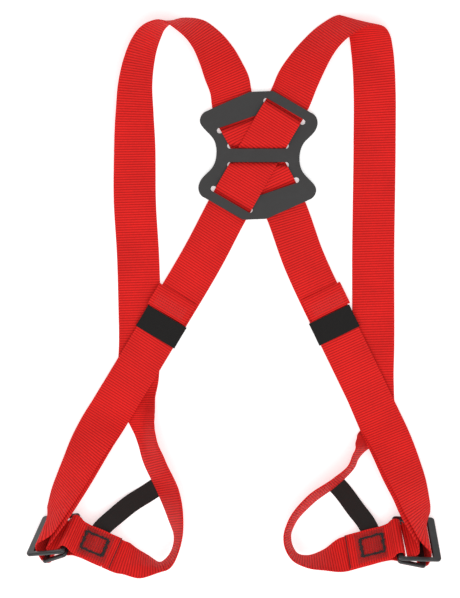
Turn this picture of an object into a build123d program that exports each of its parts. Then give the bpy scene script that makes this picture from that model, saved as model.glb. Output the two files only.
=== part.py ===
from build123d import *

import os
from math import atan2, cos, degrees, hypot, radians, sin

# Chest harness laid out flat: webbing, back plate, cinch buckles, keepers and tie-in loops.
# Millimetres. +Z is up off the surface the harness lies on, +Y points at the shoulder arches.
# Every strap is a plain closed solid. A strap's stations are design points along its middle line.

# ---- driving dimensions -------------------------------------------------------------------
web_w = 45.0              # main webbing width
web_t = 1.6               # main webbing thickness
floor_z = 0.9             # middle of a strap that lies on the surface
load_z = 4.3              # middle of the lower diagonal layer
layer_step = 2.0          # middle to middle of two stacked layers
pair_z = load_z + layer_step / 2
behind_z = 3.0            # middle of a strap behind the back plate

plate_z0 = 4.4            # underside of the back plate
plate_t = 3.4
plate_top = plate_z0 + plate_t
plate_c = (25.8, 150.3)   # plate middle
slot_w = 6.0
bar_half = 7.2            # half the height of the plate's middle bar

keeper_len = 26.0
keeper_t = 1.0
keeper_gap = 0.5
stop_len = 26.0
stop_t = 4.5
link_w = 20.0
link_t = 1.2

frame_t = 4.0             # buckle frame thickness
window_w = 49.0           # buckle window, across the strap
side_bar = 4.5
near_bar = 5.0
bar_r = 2.4               # the near bar is round where the sewn end turns on it
upper_window = 33.0       # window length of the upper frame
upper_far = 9.0           # its wide far bar
lower_window = 23.0
lower_far = 6.0
bar_stack = 5.2           # the two near bars, middle to middle
lower_drop = 14.0         # degrees the lower frame hangs below the upper one
tail_u = 34.0             # where the two layers cross the upper frame
load_u = 12.0

home = Vector(-4.2, 1.8, 0)   # moves the strap stations so that the layout is centred

# ---- small vector helpers -----------------------------------------------------------------
def unit(v):
    """Unit vector of v."""
    return v * (1.0 / v.length)


def across(azimuth, elevation):
    """Direction across a strap, from its low edge to its high edge."""
    a = radians(azimuth)
    e = radians(elevation)
    return Vector(cos(a) * cos(e), sin(a) * cos(e), sin(e))


def plan(px, py):
    """Plan direction at an angle."""
    return Vector(px, py, 0)


def section_planes(stations):
    """One plane per station: x across the strap, y out of its top face, z along it."""
    mids = [Vector(*s[:3]) + home for s in stations]
    planes = []
    for i, s in enumerate(stations):
        wide = across(s[3], s[4])
        ahead = mids[min(i + 1, len(mids) - 1)] - mids[max(i - 1, 0)]
        ahead = unit(ahead - wide * ahead.dot(wide))
        planes.append(Plane(origin=mids[i], x_dir=wide, z_dir=ahead))
    return planes


def ribbon(label, planes, width=web_w, thick=web_t, lift=None, step=None):
    """A strap lofted through section planes; lift moves each section off the middle line.

    A strap that turns right over is lofted a few sections at a time, set by step.
    """
    step = step or len(planes)
    lift = lift or [0.0] * len(planes)
    top = 1 if planes[0].y_dir.Z > 0 else -1
    with BuildPart() as strap:
        for k in range(0, len(planes) - 1, step):
            for plane, up in zip(planes[k:k + step + 1], lift[k:k + step + 1]):
                with BuildSketch(plane):
                    with Locations((0, top * up)):
                        Rectangle(width, thick)
            loft(ruled=True)
    strap.part.label = label
    export_step(strap.part, f"parts/{label}.step")
    return strap


def folded_ribbon(label, stations, thick=web_t):
    """A strap creased along its length: (x, y, z of the crease, azimuth, low wing, two tilts)."""
    mids = [Vector(*s[:3]) + home for s in stations]
    with BuildPart() as strap:
        for i, (x, y, z, azimuth, low, low_tilt, high_tilt) in enumerate(stations):
            ahead = mids[min(i + 1, len(mids) - 1)] - mids[max(i - 1, 0)]
            flat = across(azimuth, 0)
            ahead = unit(plan(ahead.X, ahead.Y) - flat * plan(ahead.X, ahead.Y).dot(flat))
            up = 1 if ahead.cross(flat).Z > 0 else -1
            with BuildSketch(Plane(origin=mids[i], x_dir=flat, z_dir=ahead)):
                a = radians(low_tilt)
                b = radians(max(high_tilt, low_tilt + 0.3))
                high = web_w - low
                half = thick / 2
                mid = (a + b) / 2
                miter = half / cos((b - a) / 2)
                rim = []
                for side in (1, -1):
                    edge = [
                        (-low * cos(a) - side * half * sin(a), -low * sin(a) + side * half * cos(a)),
                        (-side * miter * sin(mid), side * miter * cos(mid)),
                        (high * cos(b) - side * half * sin(b), high * sin(b) + side * half * cos(b)),
                    ]
                    rim += edge if side == 1 else edge[::-1]
                with BuildLine():
                    Polyline(*[(px, up * py) for px, py in rim], close=True)
                make_face()
        loft(ruled=True)
    strap.part.label = label
    export_step(strap.part, f"parts/{label}.step")
    return strap


def band_outline(path, thick):
    """Closed outline of a band of even thickness along a 2-D path."""
    upper = []
    lower = []
    for i, (x, y) in enumerate(path):
        x0, y0 = path[max(i - 1, 0)]
        x1, y1 = path[min(i + 1, len(path) - 1)]
        span = hypot(x1 - x0, y1 - y0)
        nx = -(y1 - y0) / span * thick / 2
        ny = (x1 - x0) / span * thick / 2
        upper.append((x + nx, y + ny))
        lower.append((x - nx, y - ny))
    return upper + lower[::-1]


def arc_points(cx, cy, r, start, end, count):
    """Points on a circle from one angle to another."""
    step = (end - start) / count
    return [(cx + r * cos(radians(start + k * step)), cy + r * sin(radians(start + k * step)))
            for k in range(count + 1)]


def band(label, plane, path, width=web_w, thick=web_t):
    """A band of even thickness whose side profile lies on a plane."""
    with BuildPart() as strap:
        with BuildSketch(plane):
            with BuildLine():
                Polyline(*band_outline(path, thick), close=True)
            make_face()
        extrude(amount=width / 2, both=True)
    strap.part.label = label
    export_step(strap.part, f"parts/{label}.step")
    return strap


os.makedirs("parts", exist_ok=True)


# ---- back plate ---------------------------------------------------------------------------
slots_at = [((26.6, 48.0), -30.3, 1.8), ((-18.0, 34.3), 18.7, -1.8)]   # middle, tilt, spare end
flank = [(57, 45.5), (62, 41.5), (63.8, 36), (61, 26), (49, 13), (44.5, -2), (47.5, -17), (59, -30),
         (62.2, -36), (60.5, -43), (56, -47)]
plate_on = Plane(origin=(*plate_c, plate_z0))
with BuildPart() as back_plate:
    with BuildSketch(plate_on):
        with BuildLine():
            for k in (1, -1):
                Polyline((-9 * k, 68 * k), (16 * k, 69 * k), (57 * k, 45.5 * k))
                Spline(*[(x * k, y * k) for x, y in flank])
                Line((56 * k, -47 * k), (9 * k, -68 * k))
        make_face()
        fillet(vertices().filter_by(lambda v: abs(v.Y) > 60), radius=6.0)
        for (x, y), tilt, out in slots_at:
            spare = plan(out * cos(radians(tilt)), out * sin(radians(tilt)))
            for k in (1, -1):
                with Locations(Location(((x + spare.X) * k, (y + spare.Y) * k, 0), (0, 0, tilt))):
                    SlotOverall(51.0, slot_w, mode=Mode.SUBTRACT)
        with GridLocations(0, 2 * bar_half + slot_w, 1, 2):
            SlotOverall(66.0, slot_w, mode=Mode.SUBTRACT)
    extrude(amount=plate_t)
back_plate.part.label = "back_plate"
export_step(back_plate.part, "parts/back_plate.step")

# ---- the two straps woven through the plate -------------------------------------------------
over_z = plate_top + 0.3 + web_t / 2      # a strap that lies on the plate
over_top_z = over_z + layer_step          # the strap that lies on it
under_z = 1.1                             # the lower strap under the middle bar


def slot_pass(top_z):
    """Profile from behind the plate, up through an angled slot and onto the plate."""
    rise = top_z - over_z
    return [(-16, behind_z), (-5, behind_z), (-2.0, 3.4), (-0.6, 4.8), (0.6, 7.6 + rise / 3),
            (2.2 + rise / 4, top_z), (12, top_z)]


def bar_pass(top_z, low_z):
    """Profile from the plate down a long slot, half way under the middle bar."""
    if top_z > over_z:
        edge = [(-2.0, top_z), (0.2, 9.7), (1.4, 7.6), (1.6, 4.7), (2.6, 3.3)]
    else:
        edge = [(-2.3, top_z), (-1.4, 7.9), (-1.2, 3.7), (-0.2, 1.7)]
    return [(-26, top_z)] + edge + [(4.2, low_z), (bar_half + slot_w / 2, low_z)]


def weave(label, slot, tilt, top_z, low_z):
    """One strap through all the slots: up, over, under the bar, over and back down."""
    course = unit(plan(-slot[0], -slot[1]))
    middle = Plane(origin=(*plate_c, 0), x_dir=course, z_dir=(0, 0, 1))
    pieces = []
    for side in (1, -1):
        away = plan(side * sin(radians(tilt)), -side * cos(radians(tilt)))
        start = (plate_c[0] + side * slot[0], plate_c[1] + side * slot[1], 0)
        profile = Plane(origin=start, x_dir=away, z_dir=away.cross(Vector(0, 0, 1)))
        pieces.append((profile, slot_pass(top_z), 190))
    half = bar_pass(top_z, low_z)
    span = 2 * (bar_half + slot_w / 2)
    whole = half[:-1] + [(span - x, z) for x, z in half[-2::-1]]
    down = Plane(origin=(plate_c[0], plate_c[1] + span / 2, 0), x_dir=(0, -1, 0), z_dir=(-1, 0, 0))
    pieces.append((down, whole, 84))
    cut = []
    for profile, path, reach in pieces:
        with BuildPart() as piece:
            with BuildSketch(profile):
                with BuildLine():
                    Polyline(*band_outline(path, web_t), close=True)
                make_face()
            extrude(amount=60, both=True)
            with BuildSketch(middle):
                Rectangle(reach, web_w)
            extrude(amount=20, mode=Mode.INTERSECT)
        cut.append(piece.part)
    with BuildPart() as strap:
        for piece in cut:
            add(piece)
        with BuildSketch(middle.offset(top_z - web_t / 2)):
            with Locations((35, 0), (-35, 0)):
                Rectangle(16, web_w)
        extrude(amount=web_t)
    strap.part.label = label
    export_step(strap.part, f"parts/{label}.step")
    return strap


weave_left = weave("weave_from_left", slots_at[1][0], slots_at[1][1], over_z, under_z)
weave_right = weave("weave_from_right", slots_at[0][0], slots_at[0][1], over_top_z, behind_z)

# ---- shoulder straps and arches --------------------------------------------------------------
# (x, y, z, azimuth, elevation) of the direction from the low edge to the high edge
left_arch = [
    (-100, 40, floor_z, 0, 0), (-102, 101, 1.7, 0, -2), (-102, 154, 5.5, -1, -12),
    (-102, 196, 11.5, -3, -28), (-101, 227, 15, -7, -38), (-97, 250, 17, -12, -45),
    (-92, 266, 18.5, -22, -51), (-85, 279, 20.5, -28, -59), (-78, 286.5, 22, -26, -69),
    (-70.5, 290.5, 22.7, -13, -75), (-61.5, 291.5, 22.5, 29, -74), (-50, 289, 21, 42, -63),
    (-38, 283.5, 19.2, 43, -52), (-26, 272.5, 17, 35, -42), (-15, 256, 13.5, 30, -28),
    (-7, 239, 9, 27, -14), (0, 222, 4.2, 23, -3), (1.5, 212, behind_z, 20, 0), (4.2, 197.8, behind_z, 18.7, 0),
]
right_arch = [
    (154, 40, floor_z, 0, 0), (155, 165, floor_z, 0, 0), (155, 217, 1.1, 3, 0),
    (154, 242, 2, 5, 2), (152, 262, 5.8, 6, 9), (149, 277, 11.2, 4, 18), (143, 288, 17.5, -6, 28),
    (135, 292.5, 21.7, -18, 38), (125, 289.5, 23, -28, 45), (115, 283.5, 21.8, -34, 47),
    (104, 274.5, 19.5, -35, 44), (93, 262, 16.5, -30, 37), (82, 246, 12.5, -25, 25),
    (73, 230, 7.8, -24, 12), (65, 210.9, behind_z, -30.3, 0),
]
arches = {}
for side, stations in (("left", left_arch), ("right", right_arch)):
    planes = section_planes(stations)
    arches[side] = ribbon(f"shoulder_arch_{side}", planes, step=1)

# ---- buckle axes: u runs away from the sewn end, w along the bars, n out of the frame ----------
near_mid = {"left": Vector(-174.2, -252.9, 43.5), "right": Vector(174.3, -258.5, 37.5)}
bar_way = {"left": unit(Vector(-0.302, -0.692, 0.656)), "right": unit(Vector(0.123, -0.77, 0.625))}
frame_way = {"left": Vector(-0.865, -0.0905, -0.494), "right": Vector(0.97, -0.04, -0.24)}
sewn_way = {"left": Vector(0.917, -0.4, 0), "right": Vector(-0.957, -0.262, -0.13)}
cut_end = {"left": 53.0, "right": 56.0}
box_mid = 28.0
sides = ("left", "right")


def square_to(v, w):
    """Unit vector of v made square to w."""
    return unit(v - w * v.dot(w))


def upward(v):
    """v or its reverse, whichever points up."""
    return unit(v if v.Z > 0 else v * -1)


# ---- diagonals: load layer, tail layer and the turn round the lower frame ----------------------
left_run = [
    (-5, 86, pair_z, -30.3, 0), (-25.5, 46.5, pair_z, -31, 0), (-73.6, -35, pair_z, -31, 0),
    (-106, -89, pair_z, -31, 0), (-129, -127, pair_z + 0.8, -30, 2), (-144, -150, 13.5, -32, 20),
    (-154, -167, 17.5, -37, 28), (-163, -185, 21.3, -40, 36), (-172, -203, 25, -43, 43),
    (-180, -219, 28.5, -47, 50), (-186, -232, 31, -60, 54), (-191.3, -243, 31.5, -80, 52),
]
right_run = [
    (55.8, 99.2, pair_z, -161.3, 0), (80, 34.5, pair_z, -154.5, 0), (111.7, -33.2, pair_z, -154.2, 0),
    (146, -104, pair_z, -154.2, 0), (160.5, -134, pair_z + 1, -155, 3), (175, -164, 13.5, -157, 18),
    (185, -188, 18.3, -155, 27), (193.5, -209, 22.8, -152, 37), (198.5, -225, 26.3, -149, 45),
    (203.5, -239, 29, -134, 51), (206.5, -250, 32.2, -108, 49),
]
runs = {"left": left_run, "right": right_run}
slide_way = {"left": unit(Vector(-32.4, -54, 0)), "right": unit(Vector(34.3, -70.8, 0))}
keeper_mid = {"left": Vector(-77.8, -33.2, pair_z), "right": Vector(107.5, -31.4, pair_z)}
for side in sides:
    w = bar_way[side]
    u = square_to(frame_way[side], w)
    n = upward(u.cross(w))
    at = near_mid[side]
    mid_u = tail_u - 4.0
    planes = section_planes(runs[side])
    planes.append(Plane(origin=at + u * (mid_u - 1.5) + n * 6.5 - w * 1.2, x_dir=w, z_dir=n * -1))
    planes.append(Plane(origin=at + u * mid_u, x_dir=w, z_dir=n * -1))
    half = layer_step / 2
    steps = [half] * (len(planes) - 5) + [1.05, 1.2, 1.6, 2.6, tail_u - mid_u]
    down = [-half] * (len(planes) - 5) + [-1.3, -1.6, -2.4, -9.5, load_u - mid_u]
    down[0] = behind_z - pair_z
    ribbon(f"load_strap_{side}", planes, lift=down)

    # the tail layer starts at the folded stop above the keeper
    back = slide_way[side] * -(keeper_len / 2 + 0.8)
    first = Plane(origin=keeper_mid[side] + back, x_dir=planes[2].x_dir, z_dir=planes[2].z_dir)
    ribbon(f"tail_strap_{side}", [first] + planes[3:], lift=[half] + steps[3:])
    wide = square_to(planes[2].x_dir, slide_way[side])
    out = wide * -3
    mid = keeper_mid[side] + back + slide_way[side] * -(stop_len / 2) + out
    with BuildPart() as stop:
        with BuildSketch(Plane(origin=mid + Vector(0, 0, half - web_t / 2), x_dir=slide_way[side],
                               z_dir=(0, 0, 1))):
            Rectangle(stop_len, web_w)
        extrude(amount=stop_t)
        fillet(stop.edges().filter_by(Axis(origin=(0, 0, 0), direction=wide)), radius=1.2)
    stop.part.label = f"tail_stop_{side}"
    export_step(stop.part, f"parts/tail_stop_{side}.step")

    # elastic keeper round both layers
    stack = layer_step + web_t
    with BuildPart() as keeper:
        with BuildSketch(Plane(origin=keeper_mid[side] - slide_way[side] * (keeper_len / 2),
                               x_dir=wide, z_dir=slide_way[side])):
            RectangleRounded(web_w + 2 * keeper_gap + 2 * keeper_t, stack + 2 * 0.4 + 2 * keeper_t, 1.4)
            Rectangle(web_w + 2 * keeper_gap, stack + 2 * 0.4, mode=Mode.SUBTRACT)
        extrude(amount=keeper_len)
    keeper.part.label = f"keeper_{side}"
    export_step(keeper.part, f"parts/keeper_{side}.step")

    # upper and lower buckle frames, each about its own near bar
    drop = radians(lower_drop)
    u_low = u * cos(drop) - n * sin(drop)
    n_low = n * cos(drop) + u * sin(drop)
    low_at = at - n * bar_stack
    for name, origin, x_way, z_way, opening, far in (
            ("upper_frame", at, u, n, upper_window, upper_far),
            ("lower_frame", low_at, u_low, n_low, lower_window, lower_far)):
        long = near_bar + opening + far
        with BuildPart() as frame:
            with BuildSketch(Plane(origin=origin - z_way * (frame_t / 2), x_dir=x_way, z_dir=z_way)):
                with Locations((long / 2 - near_bar / 2, 0)):
                    RectangleRounded(long, window_w + 2 * side_bar, 4.0)
                with Locations((opening / 2 + near_bar / 2, 0)):
                    RectangleRounded(opening, window_w, 1.5, mode=Mode.SUBTRACT)
            extrude(amount=frame_t)
            flat = frame.faces().filter_by(Axis(origin=(0, 0, 0), direction=z_way))
            fillet(flat.edges(), radius=1.3)
            with BuildSketch(Plane(origin=origin - w * (window_w / 2), z_dir=w)):
                Circle(bar_r)
            extrude(amount=window_w)
        frame.part.label = f"{name}_{side}"
        export_step(frame.part, f"parts/{name}_{side}.step")

    # the turn round the lower frame's far bar
    far_mid = lower_window + near_bar / 2 + lower_far / 2
    turn_u = far_mid * cos(drop)
    turn_n = -bar_stack - far_mid * sin(drop)
    turn_r = 4.7
    path = [(tail_u, -0.4), (turn_u + turn_r, turn_n + 3)]
    path += arc_points(turn_u, turn_n, turn_r, 0, -180, 10)
    path += [(turn_u - turn_r - 0.6, turn_n + 2.6), (load_u + 1.6, -2.6), (load_u + 0.3, -1.2)]
    band(f"buckle_turn_{side}", Plane(origin=at, x_dir=u, z_dir=u.cross(n)), path)

    # sewn end: the tie-in strap doubled round both near bars
    s = square_to(sewn_way[side], w)
    m = upward(s.cross(w))
    low = n * -bar_stack
    low_s = low.dot(s)
    low_m = low.dot(m)
    wrap = 4.3
    leave = 180 + degrees(atan2(low_s, -low_m))
    half_m = low_m / 2
    layer = 0.95
    path = [(cut_end[side], half_m + layer), (13, half_m + layer), (7.5, half_m + 2.5)]
    path += arc_points(0, 0, wrap, 62, leave, 10)
    path += arc_points(low_s, low_m, wrap, leave, 292, 6)
    path += [(low_s + 8, half_m - 2.4), (18, half_m - layer), (cut_end[side] + 4, half_m - layer)]
    sewn_plane = Plane(origin=at, x_dir=s, z_dir=s.cross(m))
    band(f"sewn_end_{side}", sewn_plane, path)

    # black box of stitching and the thread along the cut end
    face = Plane(origin=at + m * (half_m + layer + web_t / 2 + 0.05), x_dir=s, z_dir=m)
    with BuildPart() as box_stitch:
        with BuildSketch(face):
            with Locations((box_mid, 0)):
                Rectangle(27, 26)
                Rectangle(21.6, 20.6, mode=Mode.SUBTRACT)
        extrude(amount=0.6)
    box_stitch.part.label = f"box_stitch_{side}"
    export_step(box_stitch.part, f"parts/box_stitch_{side}.step")
    with BuildPart() as end_stitch:
        with BuildSketch(face):
            with Locations((cut_end[side] - 1.0, 0)):
                Rectangle(1.2, web_w - 1)
        extrude(amount=0.5)
    end_stitch.part.label = f"end_stitch_{side}"
    export_step(end_stitch.part, f"parts/end_stitch_{side}.step")

    # tie-in loop, from under the diagonal to the sewn end
    end = at + s * (cut_end[side] + 5) + m * (half_m - layer) - home
    loop = {
        "left": [
            (-98.5, 40, floor_z, 0, 22.5, 0, 0), (-97, -13, floor_z, 0, 22.5, 0, 0),
            (-96.5, -55, floor_z, 0, 22.5, 0, 0), (-81.3, -90, floor_z, 0, 40, 0, 0),
            (-88.8, -111, floor_z, 0, 34, 0, 42), (-92.4, -131.6, 8, 0, 21, 19, 63),
            (-91, -161, 10.5, 4, 11, 48, 66), (-80, -181, 21.5, 14, 22.5, 59, 59),
            (-66, -211, 22.5, 8, 22.5, 59, 59), (-58, -240, 23.5, 6, 22.5, 69, 69),
            (-55.5, -260, 24.5, 0, 22.5, 79, 79), (-58, -272.5, 26, -20, 22.5, 81, 81),
            (-63.5, -284, 28, -48, 22.5, 79, 79), (-75, -291.5, 31, -75, 22.5, 79, 79),
            (-95, -289, 35, -97, 22.5, 55, 55), (-110, -282.5, 38.5, -107, 22.5, 45, 45),
        ],
        "right": [
            (153.5, 40, floor_z, 180, 22.5, 0, 0), (153.5, -55, floor_z, 180, 22.5, 0, 0),
            (153, -97, floor_z, 180, 22.5, 0, 0), (155, -126, floor_z, 180, 22.5, 0, 0),
            (146, -147.7, 1.8, 176, 33, 1, 12), (145, -162.6, 10.5, 170, 15, 40, 68),
            (130.5, -184, 25, 150, 22.5, 80, 80), (113, -200, 25, 128, 22.5, 78, 78),
            (85.6, -220, 23.5, 128, 22.5, 76, 76), (65.8, -244, 23.5, 153, 22.5, 79, 79),
            (61.2, -258.4, 24, 180, 22.5, 80, 80), (63.1, -270.7, 25, 200, 22.5, 80, 80),
            (70, -280.9, 26.5, 229, 22.5, 80, 80), (82, -285.2, 28, 259, 22.5, 76, 76),
            (101, -283.6, 30, 273, 22.5, 63, 63),
        ],
    }[side]
    lean = degrees(atan2(w.Z, hypot(w.X, w.Y)))
    loop.append((end.X, end.Y, end.Z, degrees(atan2(w.Y, w.X)), web_w / 2, lean, lean))
    folded_ribbon(f"tie_in_loop_{side}", loop)

    # black link strap from under the sewn end to under the loop
    link = {
        "left": [
            (-76, -205, 0.8, -52, 0), (-88, -213, 0.9, -52, 0), (-105, -223.5, 6.5, -50, 0),
            (-122, -237, 14.5, -42, 0), (-137, -250.5, 22, -32, 0), (-142.5, -258.5, 29.5, -26, 0),
        ],
        "right": [
            (113, -203, 0.8, 41, 0), (119, -209.5, 1.2, 40, 0), (134, -229.5, 6, 36, 0),
            (147, -247, 12.5, 24, 0), (150.6, -254.5, 16, 18, 0), (153.5, -262.5, 22.6, 15, 0),
        ],
    }[side]
    ribbon(f"link_strap_{side}", section_planes(link), width=link_w, thick=link_t)
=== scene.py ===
"""Chest harness laid out flat: webbing, stitching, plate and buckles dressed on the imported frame.

The tables are in millimetres, and each mesh is made in metres.
"""
import math
import random

import bpy
import numpy as np
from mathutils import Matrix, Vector


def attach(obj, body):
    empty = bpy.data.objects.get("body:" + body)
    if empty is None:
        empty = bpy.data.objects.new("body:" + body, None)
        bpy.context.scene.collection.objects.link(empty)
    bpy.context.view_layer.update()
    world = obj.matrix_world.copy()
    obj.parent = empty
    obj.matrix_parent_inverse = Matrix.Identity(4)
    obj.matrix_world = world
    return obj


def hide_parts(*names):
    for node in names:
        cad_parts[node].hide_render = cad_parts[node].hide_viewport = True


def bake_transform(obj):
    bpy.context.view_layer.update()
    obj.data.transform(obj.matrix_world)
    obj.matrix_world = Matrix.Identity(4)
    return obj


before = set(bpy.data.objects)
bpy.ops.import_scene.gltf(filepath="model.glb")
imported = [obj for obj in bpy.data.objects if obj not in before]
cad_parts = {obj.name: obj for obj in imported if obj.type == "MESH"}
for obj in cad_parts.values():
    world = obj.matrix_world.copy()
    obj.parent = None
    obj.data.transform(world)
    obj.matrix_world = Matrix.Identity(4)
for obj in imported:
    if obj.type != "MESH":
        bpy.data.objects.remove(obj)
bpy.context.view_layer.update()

MM = 0.001
UV_PER_MM = 0.01
SEED = 7

# ---- dimensions of the straps, as in the CAD source (mm) ------------------------------------
WEB_W = 45.0
WEB_T = 1.6
HALF_W = WEB_W / 2
RIB = 2.7                 # rib pitch along the webbing
PER_RIB = 5               # mesh rows per rib
FLOOR_Z = 0.9             # middle of a strap that lies on the surface
LOWEST_Z = 0.03           # no webbing reaches below this
LAYER = 2.0               # middle to middle of two stacked layers
PAIR_Z = 5.3              # between the two layers of a diagonal
BEHIND_Z = 3.0            # middle of a strap behind the plate
PLATE_C = np.array([25.8, 150.3])
PLATE_TOP = 7.8
BAR_HALF = 7.2            # half the height of the plate's middle bar
SLOT_W = 6.0
HOME = np.array([-4.2, 1.8, 0.0])    # from the tables' origin to the frame's
KEEPER_LEN = 26.0
KEEPER_CLEAR = 0.8        # folded end to keeper
KNIT_PITCH = 1.5          # rows of the keeper's knit
KNIT_SLANT = 0.75
TAIL_U = 34.0             # where the tail leaves the turn, out from the near bar
LOAD_U = 7.8              # where the load layer meets the turn
MID_U = TAIL_U - 4.0
BAR_STACK = 5.2           # upper near bar to lower near bar
LOWER_DROP = 14.0         # slope of the lower frame below the upper one, degrees
LOWER_REACH = 28.5        # near bar to far bar of the lower frame
TURN_R = 6.0
TURN_SHIFT = (0.9, -1.0)  # middle of the turn from the far bar, out and up
WRAP_R = 4.9              # sewn end's middle round a near bar
SEWN_LAYER = 0.95         # half the step between the two sewn layers
SEWN_SKIN = 0.92          # middle of the sewn layer to the crests of its ribs
RIB_SKEW = 0.03           # ribs lean a little across the long straps
SIDES = ("left", "right")
OTHER = {"left": "right", "right": "left"}
UP = np.array([0.0, 0.0, 1.0])


# ---- vectors --------------------------------------------------------------------------------
def vec(*v):
    return np.array(v, float)


def unit(v):
    v = np.asarray(v, float)
    return v / np.linalg.norm(v, axis=-1, keepdims=True)


def square_to(v, w):
    """Unit vector of v made square to w."""
    return unit(v - w * np.dot(v, w))


def upward(v):
    return unit(v if v[2] > 0 else -v)


def across(azimuth, tilt):
    """Direction across a strap, from its low edge to its high edge."""
    a, e = math.radians(azimuth), math.radians(tilt)
    return vec(math.cos(a) * math.cos(e), math.sin(a) * math.cos(e), math.sin(e))


# ---- stations: (middle or crease, direction of the low wing, of the high wing, low wing) --------
def station(row):
    """From (x, y, z, azimuth, tilt) or, creased, (x, y, z, azimuth, low wing, two tilts)."""
    x, y, z, azimuth = row[:4]
    low, tilt_low, tilt_high = (HALF_W, row[4], row[4]) if len(row) == 5 else row[4:]
    return vec(x, y, z) + HOME, across(azimuth, tilt_low), across(azimuth, tilt_high), low


def turned(stations):
    """The same stations with low and high edges swapped."""
    return [(p, -high, -low, WEB_W - wing) for p, low, high, wing in stations]


def lifted(stations, lifts, slides=None):
    """Stations moved off the middle line, along the strap's own upward normal and across it."""
    slides = slides or [0.0] * len(stations)
    moved = []
    for i, (p, low, high, wing) in enumerate(stations):
        before, after = stations[max(i - 1, 0)][0], stations[min(i + 1, len(stations) - 1)][0]
        ahead = square_to(after - before, low)
        normal = np.cross(ahead, low)
        moved.append((p + normal * lifts[i] + low * slides[i], low, high, wing))
    return moved


LEFT_ARCH = [
    (-100, 40, FLOOR_Z, 0, 0), (-102, 101, 1.7, 0, -2), (-102, 154, 5.5, -1, -12),
    (-102, 196, 11.5, -3, -28), (-101, 227, 15, -7, -38), (-97, 250, 17, -12, -45),
    (-92, 266, 18.5, -22, -51), (-85, 279, 20.5, -28, -59), (-78, 286.5, 22, -26, -69),
    (-70.5, 290.5, 22.7, -13, -75), (-61.5, 291.5, 22.5, 29, -74), (-50, 289, 21, 42, -63),
    (-38, 283.5, 19.2, 43, -52), (-26, 272.5, 17, 35, -42), (-15, 256, 13.5, 30, -28),
    (-7, 239, 9, 27, -14), (0, 222, 4.2, 23, -3), (1.5, 212, BEHIND_Z, 20, 0),
    (4.2, 197.8, BEHIND_Z, 18.7, 0),
]
RIGHT_ARCH = [
    (154, 40, FLOOR_Z, 0, 0), (155, 165, FLOOR_Z, 0, 0), (155, 217, 1.1, 3, 0),
    (154, 242, 2, 5, 2), (152, 262, 5.8, 6, 9), (149, 277, 11.2, 4, 18),
    (143, 288, 17.5, -6, 28), (135, 292.5, 21.7, -18, 38), (125, 289.5, 23, -28, 45),
    (115, 283.5, 21.8, -34, 47), (104, 274.5, 19.5, -35, 44), (93, 262, 16.5, -30, 37),
    (82, 246, 12.5, -25, 25), (73, 230, 7.8, -24, 12), (65, 210.9, BEHIND_Z, -30.3, 0),
]
LEFT_RUN = [
    (-5, 86, PAIR_Z, -30.3, 0), (-25.5, 46.5, PAIR_Z, -31, 0), (-73.6, -35, PAIR_Z, -31, 0),
    (-106, -89, PAIR_Z, -31, 0), (-129, -127, PAIR_Z + 0.8, -30, 2), (-144, -150, 13.5, -32, 20),
    (-154, -167, 17.5, -37, 28), (-163, -185, 21.3, -40, 36), (-172, -203, 25, -43, 43),
    (-180, -219, 28.5, -47, 50), (-186, -232, 31, -60, 54), (-191.3, -243, 31.5, -80, 52),
]
RIGHT_RUN = [
    (55.8, 99.2, PAIR_Z, -161.3, 0), (80, 34.5, PAIR_Z, -154.5, 0),
    (111.7, -33.2, PAIR_Z, -154.2, 0), (146, -104, PAIR_Z, -154.2, 0),
    (160.5, -134, PAIR_Z + 1, -155, 3), (175, -164, 13.5, -157, 18), (185, -188, 18.3, -155, 27),
    (193.5, -209, 22.8, -152, 37), (198.5, -225, 26.3, -149, 45), (203.5, -239, 29, -134, 51),
    (206.5, -250, 32.2, -108, 49),
]
LEFT_LOOP = [
    (-98.5, 40, FLOOR_Z, 0, 22.5, 0, 0), (-97, -13, FLOOR_Z, 0, 22.5, 0, 0),
    (-96.5, -55, FLOOR_Z, 0, 22.5, 0, 0), (-81.3, -90, FLOOR_Z, 0, 40, 0, 0),
    (-88.8, -111, FLOOR_Z, 0, 34, 0, 42), (-92.4, -131.6, 8, 0, 21, 19, 63),
    (-91, -161, 10.5, 4, 11, 48, 66), (-80, -181, 21.5, 14, 22.5, 59, 59),
    (-66, -211, 22.5, 8, 22.5, 59, 59), (-58, -240, 23.5, 6, 22.5, 69, 69),
    (-55.5, -260, 24.5, 0, 22.5, 79, 79), (-58, -272.5, 26, -20, 22.5, 81, 81),
    (-63.5, -284, 28, -48, 22.5, 79, 79), (-75.2, -290.7, 41.7, -75, 33, 84, 64),
    (-95.1, -290.2, 43.1, -97, 30, 62, 35), (-112, -289, 47.9, -107, 34, 48, 35),
]
RIGHT_LOOP = [
    (153.5, 40, FLOOR_Z, 180, 22.5, 0, 0), (153.5, -55, FLOOR_Z, 180, 22.5, 0, 0),
    (153, -97, FLOOR_Z, 180, 22.5, 0, 0), (155, -126, FLOOR_Z, 180, 22.5, 0, 0),
    (150, -147.7, 1.4, 176, 34, 0, 6), (149.5, -154.5, 4.2, 174, 26, 8, 45),
    (144.5, -163, 9.5, 170, 14, 60, 70), (134.8, -174, 18.5, 160, 18, 78, 80),
    (129.8, -184, 24, 150, 22.5, 80, 80), (113, -200, 25, 128, 22.5, 78, 78),
    (85.6, -220, 23.5, 128, 22.5, 76, 76), (65.8, -244, 23.5, 153, 22.5, 79, 79),
    (61.2, -258.4, 24, 180, 22.5, 80, 80), (63.1, -270.7, 25, 200, 22.5, 80, 80),
    (70, -280.9, 26.5, 229, 22.5, 80, 80), (82, -285.2, 28, 259, 22.5, 76, 76),
    (101, -283.6, 30, 273, 22.5, 63, 63),
]
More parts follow.
